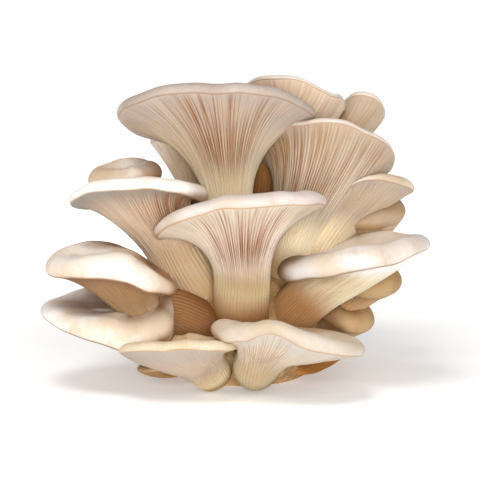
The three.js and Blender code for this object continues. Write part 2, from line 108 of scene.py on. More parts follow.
def turned(vectors, start, end):
    """Vectors carried round by the shortest turn that takes one unit direction to another."""
    axis = np.cross(np.broadcast_to(start, end.shape), end)
    sine = np.linalg.norm(axis, axis=-1, keepdims=True)
    cosine = (end @ start)[..., None]
    axis = axis / np.maximum(sine, 1e-9)
    lengthways = np.sum(axis * vectors, -1, keepdims=True) * axis
    return vectors * cosine + np.cross(axis, vectors) * sine + lengthways * (1 - cosine)


class Mushroom:
    """The form of one mushroom in millimetres. Hours run clockwise seen from above, 12 away."""

    def __init__(self, **shape):
        self.shape = shape
        self.hub = np.array(shape["hub"], float)
        lean, toward = math.radians(shape["lean"][0]), shape["lean"][1] * math.tau / HOURS
        sideways = math.sin(lean)
        self.axis = np.array([sideways * math.sin(toward), sideways * math.cos(toward), math.cos(lean)])
        up = np.array([0.0, 0.0, 1.0])
        self.right = turned(np.array([1.0, 0, 0]), up, self.axis)
        self.away = turned(np.array([0, 1.0, 0]), up, self.axis)
        stem = np.array(shape["stem"], float)
        points = np.vstack([stem[:, :3], self.hub])
        before = 2 * points[0] - points[1]
        after = self.hub + self.axis * np.linalg.norm(points[-1] - points[-2])
        self.line = np.vstack([before, points, after])
        self.wave = MARGIN_WAVE * np.mean(shape["reach"])
        radii = stem[:, 3]
        self.radii = np.concatenate([radii[:1], radii, radii[-1:], radii[-1:]])[:, None]
        self.space_margin()

    def space_margin(self):
        """Shares of the margin, from 0 to 1, mostly follow its length, so that the gills stay even."""
        by_length = 0.65
        self.hours = np.linspace(0, HOURS, MARGIN_STEPS + 1)
        edge = self.margin(self.hours)
        steps = np.linalg.norm(np.diff(edge, axis=0), axis=1)
        length = np.concatenate([[0], np.cumsum(steps)])
        self.length = length[-1]
        self.shares = by_length * length / self.length + (1 - by_length) * self.hours / HOURS

    def hour(self, share):
        """The hour at a share of the margin."""
        return np.interp(np.asarray(share) % 1.0, self.shares, self.hours)

    def outward(self, hour):
        """The way out from the hub, in the plane of the cap."""
        angle = np.asarray(hour) * math.tau / HOURS
        return np.sin(angle)[..., None] * self.right + np.cos(angle)[..., None] * self.away

    def margin(self, hour):
        """The edge of the gills, with the slow waves that its lists give and finer ones by its seed."""
        seed = self.shape["seed"]
        angle = np.asarray(hour) * math.tau / HOURS

        def wave(count, shift):
            return np.sin(count * angle + seed * shift)

        rise = 0.5 * wave(5, 1.7) + 0.35 * wave(8, 2.9) + 0.2 * wave(13, 0.7)
        scallop = 0.3 * wave(7, 2.1) + 0.18 * wave(11, 1)
        reach = clock(self.shape["reach"], hour) + self.wave * scallop
        lift = clock(self.shape["lift"], hour) + self.wave * rise
        return self.hub + self.outward(hour) * reach[..., None] + lift[..., None] * self.axis

    def round(self, height, hour):
        """The stem's middle, the way out of it, its radius and the way it runs, at a height from 0 to 1."""
        seed = self.shape["seed"]
        middle, run = along(self.line, height)
        run = run / np.linalg.norm(run, axis=-1, keepdims=True)
        radius = along(self.radii, height)[0][..., 0]
        angle = np.asarray(hour) * math.tau / HOURS
        lump = np.sin(2 * angle + seed + 3 * height) + 0.6 * np.sin(3 * angle + 2 * seed - 4 * height)
        return middle, turned(self.outward(hour), self.axis, run), radius * (1 + STEM_LUMP * lump), run

    def opening(self, height):
        """How far the stem has opened into the cap, from 0 at the throat to 1 at the margin."""
        throat = self.shape["throat"]
        return np.clip((height - throat) / (1 - throat), 0, 1)

    def underside(self, height, share):
        """The stem's side, which turns out level towards the margin like a quarter of a round."""
        hour = self.hour(share)
        opening = self.opening(height)
        quarter = opening * math.pi / 2
        early = self.shape.get("level", 0) * (np.sin(quarter) - opening)
        middle, out, radius, _ = self.round(height + (1 - self.shape["throat"]) * early, hour)
        _, neck_out, neck, _ = self.round(np.ones_like(height), hour)
        spread = self.margin(hour) - self.hub - neck[..., None] * neck_out
        open_by = (np.sqrt(1 - np.cos(quarter)) ** self.shape["flare"])[..., None]
        return middle + radius[..., None] * out + open_by * spread

    def upper(self, turn, share):
        """The cap's skin: rolled over the lip while turn goes from 0 to 1, then in to the middle at 2."""
        width, height, tuck = self.shape["lip"]
        hour = self.hour(share)
        out = self.outward(hour)
        size = clock(self.shape.get("fat", [1]), hour)
        tuck = math.radians(tuck)
        roll = -tuck + np.minimum(turn, 1) * (math.pi / 2 + tuck)
        aside = size * width * (np.cos(roll) - math.cos(tuck))
        rise = size * height * (np.sin(roll) + math.sin(tuck))
        rolled = self.margin(hour) + out * aside[..., None] + self.axis * rise[..., None]
        inward = np.maximum(turn - 1, 0)
        middle = self.hub - self.axis * self.shape["dish"]
        drop = (rolled - middle) @ self.axis
        sag = inward - inward**2 * (3 - 2 * inward)
        return rolled + (middle - rolled) * inward[..., None] + self.axis * (drop * sag)[..., None]

    def foot(self, turn, share):
        """The round end of the stem inside the butt, from its side at turn 0 to its tip at 1."""
        middle, out, radius, run = self.round(np.zeros_like(turn), self.hour(share))
        angle = turn * math.pi / 2
        drop = FOOT_BULGE * self.radii[0, 0] * np.sin(angle)
        return middle + out * (radius * np.cos(angle))[..., None] - run * drop[..., None]


def jitter(count, salt):
    """A steady scatter from 0 to 1 for each whole number."""
    return np.modf(np.abs(np.sin(count * 12.9898 + salt * 78.233) * 43758.5453))[0]


def gilled(form, height, share, gills, depth):
    """The underside with its gills, and how far down a furrow each point lies, from 0 to 1. Every
    second gill starts late, on the cap. The furrows are shallow on the stem and end at the margin."""
    aside = 0.25 / (gills * POINTS_A_GILL)
    above = 0.002
    point = form.underside(height, share)
    upward = form.underside(np.minimum(height + above, 1), share) - form.underside(height - above, share)
    around = form.underside(height, share + aside) - form.underside(height, share - aside)
    normal = np.cross(upward, around)
    normal /= np.maximum(np.linalg.norm(normal, axis=-1, keepdims=True), TINY)
    opening = form.opening(height)
    seed = form.shape["seed"]
    bends_up, bends_round, sway = 9, 4, 0.22
    wander = sway * np.sin(bends_up * height + bends_round * math.tau * share + seed) * (1 - opening)
    phase = share * gills + wander
    index = np.round(phase)
    across = np.abs(phase - index) * 2
    index = np.mod(index, gills)
    soonest, spread, rise_over = 0.15, 0.35, 0.1
    late = soonest + spread * jitter(index, seed)
    started = np.where(index % 2 == 0, 1, np.clip((opening - late) / rise_over, 0, 1))
    lowest, roundness = 0.75, 0.8
    uneven = lowest + (1 - lowest) * jitter(index, seed + 5)
    ridge = started * uneven * np.clip(1 - across, 0, 1) ** roundness
    on_stem, full_by = 0.2, 0.35
    below = np.clip(height / form.shape["throat"], 0, 1)
    onset = on_stem * below**2 + (1 - on_stem) * np.minimum(opening / full_by, 1)
    at_margin, thins_over, ends_over = 0.06, 0.6, 0.02
    ending = at_margin + (1 - at_margin) * np.minimum((1 - opening) / thins_over, 1)
    ending = ending * np.clip((1 - opening) / ends_over, 0, 1)
    sunk = depth * onset * ending * (1 - ridge)
    return point - normal * sunk[..., None], sunk / depth


def solids_tree():
    """The solids of the frame, for rays to meet."""
    points, faces = [], []
    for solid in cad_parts.values():
        start = len(points)
        points += [vertex.co.copy() for vertex in solid.data.vertices]
        faces += [[start + i for i in polygon.vertices] for polygon in solid.data.polygons]
    return BVHTree.FromPolygons(points, faces)


NEIGHBOURS = solids_tree()
SHELTER_GRID = (26, 24)
SHELTER_RAYS = 40
SHELTER_START = 1.6 * MM
SHELTER_REACH = 55 * MM
SHELTER_GRAZING = 0.1


def occlusion_shade(stack):
    """The share of its surroundings that the cluster closes off from each point of a skin, which the
    materials paint in as shade.
    """
    layers, around, _ = stack.shape
    rows = np.linspace(0, layers - 1, SHELTER_GRID[0]).round().astype(int)
    columns = np.linspace(0, around, SHELTER_GRID[1], endpoint=False).round().astype(int)
    coarse = stack[rows][:, columns] * MM
    upward = np.gradient(coarse, axis=0)
    sideways = np.roll(coarse, -1, 1) - np.roll(coarse, 1, 1)
    normal = np.cross(upward, sideways)
    normal /= np.maximum(np.linalg.norm(normal, axis=-1, keepdims=True), TINY)
    turn = np.arange(SHELTER_RAYS) * math.pi * (3 - math.sqrt(5))
    rise = 1 - (2 * np.arange(SHELTER_RAYS) + 1) / SHELTER_RAYS
    flat = np.sqrt(1 - rise**2)
    rays = np.stack([flat * np.cos(turn), flat * np.sin(turn), rise], -1)
    closed = np.zeros(coarse.shape[:2])
    for place in np.ndindex(closed.shape):
        facing = rays @ normal[place]
        start = Vector(coarse[place] + normal[place] * SHELTER_START)
        met = 0.0
        for i in np.flatnonzero(facing > SHELTER_GRAZING):
            ray = Vector(rays[i])
            _, outward, _, _ = NEIGHBOURS.ray_cast(start, ray, SHELTER_REACH)
            if outward is not None and outward.dot(ray) < 0:
                met += facing[i]
        closed[place] = met / max(facing[facing > SHELTER_GRAZING].sum(), 1e-6)
    closed = np.hstack([closed, closed[:, :1]])
    columns = np.append(columns, around)
    wide = np.array([np.interp(np.arange(around), columns, row) for row in closed])
    return np.array([np.interp(np.arange(layers), rows, column) for column in wide.T]).T


SOMEWHAT_WARM = [0.4]


def mushroom_mesh(name, form, size):
    """The fine skin of a mushroom from foot to cap, with what its materials read at each point."""
    gills, rings, depth = size["gills"], size["rings"], size["furrow"]
    around = gills * POINTS_A_GILL
    share = np.arange(around) / around
    throat = form.shape["throat"]
    foot_rings, lip_rings, top_rings = 5, 11, 10
    closer_at_margin = 0.85
    foot_turns = np.linspace(1, 0, foot_rings + 1, endpoint=False)[1:, None]
    stem_heights = np.linspace(0, throat, rings // 3, endpoint=False)
    cap_heights = throat + (1 - throat) * np.linspace(0, 1, rings) ** closer_at_margin
    heights = np.concatenate([stem_heights, cap_heights])[:, None]
    lip_turns = np.linspace(0, 1, lip_rings + 1)[1:]
    top_turns = 1 + np.linspace(0, 1, top_rings + 2)[1:-1]
    turns = np.concatenate([lip_turns, top_turns])[:, None]
    foot_turns, foot_share = np.broadcast_arrays(foot_turns, share[None])
    heights, under_share = np.broadcast_arrays(heights, share[None])
    turns, top_share = np.broadcast_arrays(turns, share[None])
    foot = form.foot(foot_turns, foot_share)
    under, furrow = gilled(form, heights, under_share, gills, depth)
    upper = form.upper(turns, top_share)
    end = form.foot(np.ones(1), np.zeros(1))
    middle = form.upper(np.full(1, 2.0), np.zeros(1))
    stack = np.concatenate([foot, under, upper])
    points = np.vstack([stack.reshape(-1, 3), end, middle]) * MM
    layers = len(stack)
    row = np.arange(layers - 1)[:, None] * around
    column = np.arange(around)[None]
    beside = (column + 1) % around
    quads = np.stack([row + column, row + around + column, row + around + beside, row + beside], -1)
    quads = quads.reshape(-1, 4)
    count = layers * around
    last = (layers - 1) * around
    column, beside = column[0], beside[0]
    bottom = np.stack([np.full(around, count), column, beside], -1)
    top = np.stack([np.full(around, count + 1), last + beside, last + column], -1)
    faces = quads.tolist() + bottom.tolist() + top.tolist()
    mesh = bpy.data.meshes.new(name)
    mesh.from_pydata(points.tolist(), [], faces)
    mesh.polygons.foreach_set("use_smooth", np.ones(len(faces), bool))
    skin_from = (len(foot) + len(under) - 1) * around
    on_skin = np.zeros(len(faces), np.int32)
    on_skin[skin_from : len(quads)] = 1
    on_skin[len(quads) + around :] = 1
    mesh.polygons.foreach_set("material_index", on_skin)
    # How closed in each point is, for the materials to paint shade by.
    closed = np.split(occlusion_shade(stack), [len(foot), len(foot) + len(under)])
    plain = np.zeros(foot.shape[:2])
    flat = np.zeros(upper.shape[:2])
    readings = {
        "occlusion_shade": (*closed, closed[0].mean(), closed[2][-1].mean()),
        "furrow": (plain, furrow, flat, 0, 0),
        "opening": (plain, form.opening(heights), flat + 1, 0, 1),
        "height": (plain, heights / throat, flat + 2, 0, 2),
        "inward": (plain, np.zeros_like(furrow), turns, 0, 2),
        "warm": (plain, clock(form.shape.get("warm", SOMEWHAT_WARM), form.hour(under_share)), flat, 0, 0),
    }
    for label, (at_foot, at_under, at_upper, at_end, at_middle) in readings.items():
        values = np.concatenate([at_foot.ravel(), at_under.ravel(), at_upper.ravel(), [at_end, at_middle]])
        mesh.attributes.new(label, "FLOAT", "POINT").data.foreach_set("value", values.astype(np.float32))
    lengths = np.linalg.norm(np.diff(stack.mean(1), axis=0), axis=1)
    spread = np.linalg.norm(stack[1:, 0] - stack[:-1, 0], axis=1)
    run = np.concatenate([[0], np.cumsum(np.maximum(spread, lengths))]) * MM
    quad_run = np.stack([run[:-1], run[1:], run[1:], run[:-1]], -1)
    quad_run = np.repeat(quad_run[:, None], around, 1).reshape(-1, 4)
    left, right = np.arange(around) / around, (np.arange(around) + 1) / around
    girth = form.length * MM
    quad_across = np.stack([left, left, right, right], -1) * girth
    quad_across = np.tile(quad_across, (layers - 1, 1))
    quad_uv = np.stack([quad_across, quad_run], -1).reshape(-1, 2)
    fan_across = np.stack([left, left, right], -1).reshape(-1) * girth
    bottom_uv = np.stack([fan_across, np.zeros(3 * around)], -1)
    top_uv = np.stack([fan_across, np.full(3 * around, run[-1])], -1)
    laid_flat = np.vstack([quad_uv, bottom_uv, top_uv]).astype(np.float32)
    mesh.uv_layers.new(name="grain").data.foreach_set("uv", laid_flat.ravel())
    mesh.update()
    return mesh


def linear(hex_colour):
    """An sRGB colour as the linear one that materials take."""
    parts = [int(hex_colour[i : i + 2], 16) / 255 for i in (1, 3, 5)]
    return (*[p / 12.92 if p <= 0.04045 else ((p + 0.055) / 1.055) ** 2.4 for p in parts], 1)


def node(tree, kind, inputs, out=0, **settings):
    """Adds a node with its settings and links, and gives back one of its outputs."""
    made = tree.nodes.new(kind)
    for label, value in settings.items():
        setattr(made, label, value)
    for socket, value in inputs.items():
        if isinstance(value, bpy.types.NodeSocket):
            tree.links.new(value, made.inputs[socket])
        else:
            made.inputs[socket].default_value = value
    return made.outputs[out]


SOFT = "SMOOTHSTEP"


def cuticle(name, light, shade, stain_and_shade):
    """The cap's cuticle, a thin dry skin of pressed threads that grew smooth over the flesh. To the eye it
    is pale and dull, with broad grey blotches, streaks that run out to the margin, small stains where it
    was touched, and a fine brown line where it dried at the very edge. The stain colour is also laid on as
    painted shade where the cluster closes the skin in."""
    material = bpy.data.materials.new(name + "_cuticle")
    material.use_nodes = True
    tree = material.node_tree
    place = node(tree, "ShaderNodeTexCoord", {}, "Object")
    grain = node(tree, "ShaderNodeUVMap", {}, "UV", uv_map="grain")
    # The skin's threads are hundredths of a millimetre wide, so bundles of them are drawn instead.
    bundle_mm, bundle_long_mm, unit_mm = 0.9, 9, 1
    drawn_out = (1 / bundle_mm, 1 / bundle_long_mm, 1)
    streaky = node(tree, "ShaderNodeMapping", {"Vector": grain, "Scale": drawn_out})
    blotches_mm, stains_mm, specks_mm, dents_mm = 22, 9, 1.1, 7
    colour = linear(light)
    for where, size_mm, low, high, share, tint in (
        (place, blotches_mm, 0.36, 0.64, 1, shade),
        (streaky, unit_mm, 0.35, 0.75, 0.3, shade),
        (place, stains_mm, 0.52, 0.78, 0.35, stain_and_shade),
        (place, specks_mm, 0.62, 0.78, 0.12, stain_and_shade),
    ):
        threads = {"Vector": where, "Scale": 1 / (size_mm * MM), "Detail": 4, "Roughness": 0.58}
        pattern = node(tree, "ShaderNodeTexNoise", threads)
        spread = {"Value": pattern, "From Min": low, "From Max": high, "To Max": share}
        spread = node(tree, "ShaderNodeMapRange", spread, interpolation_type=SOFT)
        colour = node(tree, "ShaderNodeMix", {0: spread, 6: colour, 7: linear(tint)}, 2, data_type="RGBA")
    # Painted shade: the stain colour laid on by how closed in each point is. The inward reading then draws
    # the dried brown edge.
    for label, low, high, share, tint in (
        ("occlusion_shade", 0.38, 0.85, 0.85, stain_and_shade),
        ("inward", 0.12, 0.02, 0.8, stain_and_shade),
    ):
        reading = node(tree, "ShaderNodeAttribute", {}, "Fac", attribute_name=label)
        spread = {"Value": reading, "From Min": low, "From Max": high, "To Max": share}
        spread = node(tree, "ShaderNodeMapRange", spread, interpolation_type=SOFT)
        colour = node(tree, "ShaderNodeMix", {0: spread, 6: colour, 7: linear(tint)}, 2, data_type="RGBA")
    dents = {"Vector": place, "Scale": 1 / (dents_mm * MM), "Detail": 4}
    dents = node(tree, "ShaderNodeTexNoise", dents)
    fibres = {"Vector": streaky, "Scale": 1 / (unit_mm * MM), "Detail": 3}
    fibres = node(tree, "ShaderNodeTexNoise", fibres)
    relief = node(tree, "ShaderNodeMath", {0: fibres, 1: 0.25, 2: dents}, operation="MULTIPLY_ADD")
    rough = node(tree, "ShaderNodeMapRange", {"Value": fibres, "To Min": 0.42, "To Max": 0.62})
    bump = {"Height": relief, "Strength": 0.5, "Distance": 0.8 * MM}
    moist(tree, colour, rough, node(tree, "ShaderNodeBump", bump))
    return material


def moist(tree, colour, roughness, normal):
    """Moist mushroom flesh lets light half a millimetre in, red furthest, with a soft low gloss."""
    shader = tree.nodes["Principled BSDF"]
    tree.links.new(colour, shader.inputs["Base Color"])
    tree.links.new(roughness, shader.inputs["Roughness"])
    tree.links.new(normal, shader.inputs["Normal"])
    shader.inputs["Subsurface Weight"].default_value = 0.25
    shader.inputs["Subsurface Radius"].default_value = (1.0, 0.7, 0.45)
    shader.inputs["Subsurface Scale"].default_value = 0.5 * MM
    shader.inputs["IOR"].default_value = 1.38


def gill_flesh(name, margin, edge, furrow, stem, foot):
    """The flesh of gills and stem, one tissue of long threads. To the eye the gills are thin pale edges
    over furrows that go orange brown in uneven streaks on the cap, fading towards the margin and the neck,
    and the stem is cream, faintly streaked lengthways, and tan to brown at its foot. The furrows are also
    darkened by their depth as painted shade, and flesh that the cluster closes in takes on the foot colour:
    painted shade where that colour is darker, painted light where it is paler."""
    material = bpy.data.materials.new(name + "_gill_flesh")
    material.use_nodes = True
    tree = material.node_tree
    place = node(tree, "ShaderNodeTexCoord", {}, "Object")
    grain = node(tree, "ShaderNodeUVMap", {}, "UV", uv_map="grain")
    # The flesh's threads are too fine to show, so bundles as wide as a gill are drawn instead.
    bundle_mm, bundle_long_mm, sector_mm, sector_long_mm, unit_mm, blotches_mm = 0.9, 22, 5, 90, 1, 14
    drawn_out = (1 / bundle_mm, 1 / bundle_long_mm, 1)
    threads = node(tree, "ShaderNodeMapping", {"Vector": grain, "Scale": drawn_out})
    threads = {"Vector": threads, "Scale": 1 / (unit_mm * MM), "Detail": 4}
    threads = node(tree, "ShaderNodeTexNoise", threads)
    drawn_out = (1 / sector_mm, 1 / sector_long_mm, 1)
    sectors = node(tree, "ShaderNodeMapping", {"Vector": grain, "Scale": drawn_out})
    sectors = {"Vector": sectors, "Scale": 1 / (unit_mm * MM), "Detail": 3, "Roughness": 0.7}
    sectors = node(tree, "ShaderNodeTexNoise", sectors)
    blotches = {"Vector": place, "Scale": 1 / (blotches_mm * MM), "Detail": 3}
    blotches = node(tree, "ShaderNodeTexNoise", blotches)
    told = {}
    for label in ("height", "opening", "furrow", "warm", "occlusion_shade"):
        told[label] = node(tree, "ShaderNodeAttribute", {}, "Fac", attribute_name=label)
    sectors = {"Value": sectors, "From Min": 0.35, "From Max": 0.6, "To Min": 0.35}
    warmth = node(tree, "ShaderNodeMapRange", sectors)
    warmth = node(tree, "ShaderNodeMapRange", {"Value": told["warm"], "To Max": warmth})
    warmth = {"Value": told["opening"], "From Min": 0.3, "From Max": 0.65, "To Max": warmth}
    warmth = node(tree, "ShaderNodeMapRange", warmth, interpolation_type=SOFT)
    warmth = {"Value": told["opening"], "From Min": 0.85, "From Max": 1.1, "To Min": warmth, "To Max": 0.0}
    warmth = node(tree, "ShaderNodeMapRange", warmth, interpolation_type=SOFT)
    glow = node(tree, "ShaderNodeMath", {0: warmth, 1: 0.2}, operation="MULTIPLY")
    worn = node(tree, "ShaderNodeMapRange", {"Value": warmth, "To Min": 0.06, "To Max": 1.0})
    painted_furrow_shade = node(tree, "ShaderNodeMapRange", {"Value": warmth, "To Min": 0.22, "To Max": 1.0})
    colour = linear(foot)
    for value, low, high, share, tint in (
        (told["height"], 0.45, 1.15, 1, stem),
        (told["opening"], 0.1, 0.5, 1, edge),
        (told["opening"], 0.6, 0.95, 1, margin),
        (threads, 0.42, 0.64, worn, furrow),
        (blotches, 0.35, 0.7, 0.14, foot),
        # Painted shade: flesh closed in by the cluster goes a quarter of the way to the foot colour, which
        # paints light instead where that colour is pale, as on the top trumpet.
        (told["occlusion_shade"], 0.5, 1.0, 0.25, foot),
        (told["opening"], 0.0, 0.01, glow, furrow),
        # Painted shade in the furrows: the furrow colour laid on by how deep each point lies.
        (told["furrow"], 0.1, 0.55, painted_furrow_shade, furrow),
    ):
        spread = {"Value": value, "From Min": low, "From Max": high, "To Max": share}
        spread = node(tree, "ShaderNodeMapRange", spread, interpolation_type=SOFT)
        colour = node(tree, "ShaderNodeMix", {0: spread, 6: colour, 7: linear(tint)}, 2, data_type="RGBA")
    rough = node(tree, "ShaderNodeMapRange", {"Value": threads, "To Min": 0.5, "To Max": 0.7})
    bump = {"Height": threads, "Strength": 0.3, "Distance": 0.3 * MM}
    moist(tree, colour, rough, node(tree, "ShaderNodeBump", bump))
    return material


def mushroom(name, form, size, light, shade, stain_and_shade, margin, edge, furrow, stem, foot):
    """Puts the fine mushroom in the place of the plain one, in its two skins."""
    piece = bpy.data.objects.new(name + "_fine", mushroom_mesh(name + "_fine", form, size))
    bpy.context.scene.collection.objects.link(piece)
    piece.data.materials.append(gill_flesh(name, margin, edge, furrow, stem, foot))
    piece.data.materials.append(cuticle(name, light, shade, stain_and_shade))
    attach(piece, "root")
    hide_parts(name)


front_centre = Mushroom(
    hub=(-2, -26, 63), lean=(6, 0), seed=2,
    stem=[(0, -18, 14, 10.5), (-1.8, -21, 32, 11.2), (-1.2, -22, 46, 11.2)],
    reach=[24, 26, 30, 33, 32, 29, 27, 27, 30, 33, 30, 26],
    lift=[-1, 3, 7, 10, 10.5, 10.5, 9.5, 7.5, 3, -3, -4.5, -3],
    throat=0.48, flare=3.5, level=0.9, lip=(6.5, 3.6, 32), dish=8,
    fat=[0.8, 0.9, 1, 1.1, 1, 1, 1, 1.05, 1.25, 1.3, 1, 0.8],
    warm=[0.2, 0.2, 0.2, 0.3, 0.5, 0.9, 1, 0.8, 0.3, 0.2, 0.2, 0.2],
)
mushroom(
    "front_centre", front_centre, LARGE, light="#D9CBC5", shade="#CDBEAE", stain_and_shade="#B9936B",
    margin="#DED2C0", edge="#F0E4D4", furrow="#8A4C14", stem="#C2AE86", foot="#935F30",
)

# The tall trumpet behind it, the cluster's widest. Its cap is one thin funnel of grey-white flesh that
# leans back, so that the whole fan of its gills shows, warm in the furrows, over a round stem. Its stem
# and foot colours are near white, painted light for the neck that its cap shades.
top_trumpet = Mushroom(
    hub=(-8.6, 8, 104.5), lean=(22, 0), seed=1,
    stem=[(-2, 4, 22, 10), (-5, 5, 56, 9.4), (-6.8, 6, 76, 9.9)],
    reach=[26, 28.8, 33.4, 36.6, 35.4, 33.8, 32, 34.2, 39.6, 42.9, 38.6, 31.2],
    lift=[-2, -1, 0, 0, -0.5, 0.5, 1, 1, 1, 0, -2, -3],
    throat=0.5, flare=2.8, level=0.5, lip=(5.5, 3.8, 30), dish=18,
    warm=[0.3, 0.2, 0.2, 0.2, 0.25, 0.7, 1, 0.9, 0.4, 0.5, 0.5, 0.4],
)
mushroom(
    "top_trumpet", top_trumpet, LARGE, light="#BBAEA5", shade="#AC9C8E", stain_and_shade="#9B7D64",
    margin="#B7AAA0", edge="#CDC0AA", furrow="#864A10", stem="#FFF4D2", foot="#FFE2A4",
)

# The low mushroom at the front right. A fat foot on the table, and a cap that spreads far to the
# right under a soft white rolled edge, with a dip where the edge curls up.
low_right = Mushroom(
    hub=(10, -44, 25), lean=(6, 6), seed=12,
    stem=[(5, -34, 10.4, 9.6), (5, -38, 12.4, 10.2), (7, -41, 18, 9.4)],
    reach=[16, 20, 28, 36, 32, 26, 21, 21, 22, 22, 20, 17],
    lift=[-4, -5, -6.5, -7.5, -4, 0.5, 6.5, 2, 0.5, 0, -2, -3],
    throat=0.3, flare=2, level=0.5, lip=(5.5, 3.9, 38), dish=1,
    fat=[0.6, 0.6, 0.75, 0.8, 1, 1.15, 0.75, 1.05, 1.15, 1, 0.8, 0.7],
    warm=[0.25],
)
mushroom(
    "low_right", low_right, LARGE, light="#D2C6B8", shade="#C4B196", stain_and_shade="#B9936B",
    margin="#CBC4BC", edge="#D8CCBC", furrow="#B98A5C", stem="#C2B090", foot="#8A7450",
)

# The low mushroom beside it on the left. A stub of a stem under a one-sided cap, of which only the
# grey underside and a thin tan edge show.
low_left = Mushroom(
    hub=(-23, -45, 18.5), lean=(13, 0.5), seed=11,
    stem=[(-13, -33, 7.2, 7.4), (-14, -36, 9, 7.7), (-17, -40, 12.5, 7.5)],
    reach=[10, 12, 17, 20, 20, 19, 17, 19, 23, 26, 22, 14],
    lift=[3, 3, 2, 2, 1, 0, 0, -1, -2, -2, 0, 2],
    throat=0.3, flare=2, level=0.3, lip=(4, 2.8, 30), dish=-2,
    warm=[0.15],
)
mushroom(
    "low_left", low_left, MIDDLING, light="#DCCDB6", shade="#C8AE88", stain_and_shade="#B08D64",
    margin="#ADA298", edge="#C2B2A0", furrow="#B98A5C", stem="#D2C09E", foot="#A28654",
)

# The plump cap half way up the left side. Its skin is rolled well over, cream with tan flushes, and
# its left edge curls down and under.
left_middle = Mushroom(
    hub=(-46.5, -24, 48), lean=(13, 5), seed=9,
    stem=[(-11, -10, 15, 6.5), (-29, -19, 20, 6.2), (-39, -26, 29, 6.2)],
    reach=[20, 20, 19, 19.5, 21, 23, 25, 27, 30, 31.5, 29, 24],
    lift=[-4, -6, -7, -7, -5.5, -2, 3, 2.5, -1.5, -5.5, -4, -2.5],
    throat=0.42, flare=2.4, level=0.8, lip=(9, 5.6, 30), dish=-7.5,
    fat=[0.7, 0.6, 0.55, 0.55, 0.8, 1, 1, 1, 1, 1, 1, 0.8],
    warm=[0.3],
)
mushroom(
    "left_middle", left_middle, MIDDLING, light="#F2E8DC", shade="#E0CAB2", stain_and_shade="#A07040",
    margin="#826550", edge="#A08464", furrow="#9A6A3C", stem="#E4C69D", foot="#CFA162",
)

# The broad leaf at the far left. It lies nearly flat on a thick stem, hollow in the middle, with a fat
# rolled front edge that thins to a frilled point at the left. The stem's brown is painted shade, for it
# lies in shadow behind the middle cap's stem.
left_leaf = Mushroom(
    hub=(-43, -19, 32), lean=(20, 6), seed=10,
    stem=[(-4, -11, 13, 9.5), (-14, -15, 20, 10.5), (-27, -18, 27, 10.5)],
    reach=[26, 20, 15, 13, 17, 26, 31, 32, 36, 39, 36, 31],
    lift=[-1, 1, 3, 5, 0, -3, -3.5, -0.5, 0.5, -2, -7, -6],
    throat=0.68, flare=2, level=0.6, lip=(9, 6, 14), dish=0.5,
    fat=[0.4, 0.35, 0.3, 0.35, 0.7, 1.2, 1.1, 1, 0.6, 0.4, 0.45, 0.4],
    warm=[0.1],
)
mushroom(
    "left_leaf", left_leaf, LARGE, light="#EDE7E2", shade="#DCC6AC", stain_and_shade="#8A5A30",
    margin="#C0A284", edge="#B89878", furrow="#A97C50", stem="#95673A", foot="#8A5A32",
)

# The long ledge on the right. Its thick rolled front edge climbs to a point at the far right, with
# the hollow of the cap and its thin back edge behind it.
right_ledge = Mushroom(
    hub=(41, -14, 48), lean=(4, 6), seed=14,
    stem=[(9, -8, 14, 10), (18, -12, 27, 9.8), (28, -14, 37, 10)],
    reach=[27, 29, 32, 32.5, 31, 30, 30, 30, 28.5, 26, 21, 23],
    lift=[2, 4, 5, 6.5, 7.5, 5.5, 3, 0, -4, -6, -8, -4],
    throat=0.42, flare=2.5, level=0.8, lip=(8, 5.8, 35), dish=8,
    fat=[0.5, 0.5, 0.55, 0.6, 0.7, 0.85, 1, 1, 1.1, 1, 0.7, 0.6],
    warm=[0.25],
)
mushroom(
    "right_ledge", right_ledge, LARGE, light="#E0D8D4", shade="#D4C2AE", stain_and_shade="#94704A",
    margin="#FFFFFF", edge="#ECE4C6", furrow="#A9743F", stem="#AB7E52", foot="#A07440",
)

# The shelf at the upper left. A thin grey-white plate on a slim funnel that rises from far inside
# the cluster.
left_shelf = Mushroom(
    hub=(-38, -10, 75), lean=(8, 0), seed=7,
    stem=[(-9, 2, 20, 11.5), (-20, -2, 40, 13.2), (-29, -7, 57, 13.2)],
    reach=[24, 24, 23, 22, 23, 25, 27, 28, 30, 32, 30, 26],
    lift=[-4, -4, -4, -3, -2, 0.5, 2, 2, 0, -3.5, -5, -5],
    throat=0.52, flare=3, level=0.95, lip=(5, 3.3, 33), dish=8,
    fat=[1, 1, 1.2, 1.5, 1.5, 1.2, 1, 1, 1, 1, 1, 1],
    warm=[0.2, 0.2, 0.3, 0.6, 1, 1, 0.7, 0.3, 0.2, 0.2, 0.2, 0.2],
)
mushroom(
    "left_shelf", left_shelf, LARGE, light="#FCF8F2", shade="#EDE2D5", stain_and_shade="#AB8B6A",
    margin="#9A958E", edge="#DCC8B2", furrow="#8C5014", stem="#C9B292", foot="#CDAB80",
)

# The fan at the upper right. Its thin cream flesh leans far back, so that its gills face the front
# from edge to stem, and its stem rises from the butt between the trumpet and the ledge.
right_fan = Mushroom(
    hub=(35, 20, 89), lean=(32, 0), seed=3,
    stem=[(11, 3, 24, 9), (18, 7, 46, 9), (23, 11, 60, 9.5)],
    reach=[30, 31, 29, 27, 26, 26, 28, 28, 28, 29, 29, 30],
    lift=[0, 0, -1, -2, -2, -1, 0, 1, 1, 1, 1, 1],
    throat=0.45, flare=1.9, level=0.35, lip=(4, 2.4, 25), dish=16,
    warm=[0.2, 0.2, 0.2, 0.3, 0.5, 0.7, 0.9, 1, 1, 0.9, 0.4, 0.2],
)
